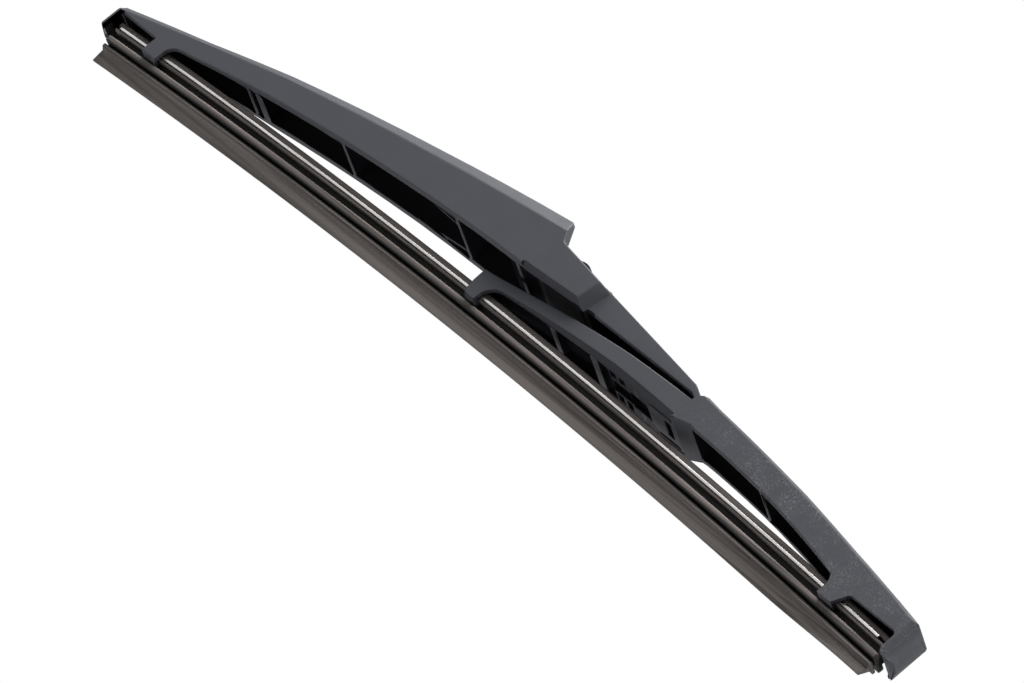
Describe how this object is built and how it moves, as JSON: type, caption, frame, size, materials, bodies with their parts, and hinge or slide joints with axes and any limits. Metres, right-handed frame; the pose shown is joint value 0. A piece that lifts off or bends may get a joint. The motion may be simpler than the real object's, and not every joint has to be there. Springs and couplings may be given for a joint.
{
  "type": "wiper blade",
  "caption": "Rear wiper blade with an arched ribbed bridge, a rocking claw lever on its tail, and a bowed rubber squeegee with two flat steel splines, for a clip-on wiper arm",
  "frame": {"origin": "on the axis of the arm's cross pin, in the middle of the snap clip in the bridge's socket", "axes": "+X along the blade from the bridge's claw to the lever's end cap, +Y across the blade, +Z away from the glass"},
  "size_m": [0.3073, 0.0236, 0.0425],
  "materials": {
    "plastic": "fine grained, charcoal",
    "rubber": "matt, streaked along its length",
    "steel": "bright, drawn along its length"
  },
  "bodies": {
    "bridge": {"bridge": "plastic"},
    "lever": {"lever": "plastic", "squeegee": "rubber", "spline_near": "steel", "spline_far": "steel"}
  },
  "joints": [
    {"name": "lever_pivot", "type": "hinge", "parent": "bridge", "child": "lever", "pos_m": [0.0438, 0, -0.0089], "axis": [0, 1, 0], "range_deg": [-4, 3], "stiffness_Nm_per_rad": 1.8, "deforming": ["squeegee", "spline_near", "spline_far"]}
  ]
}
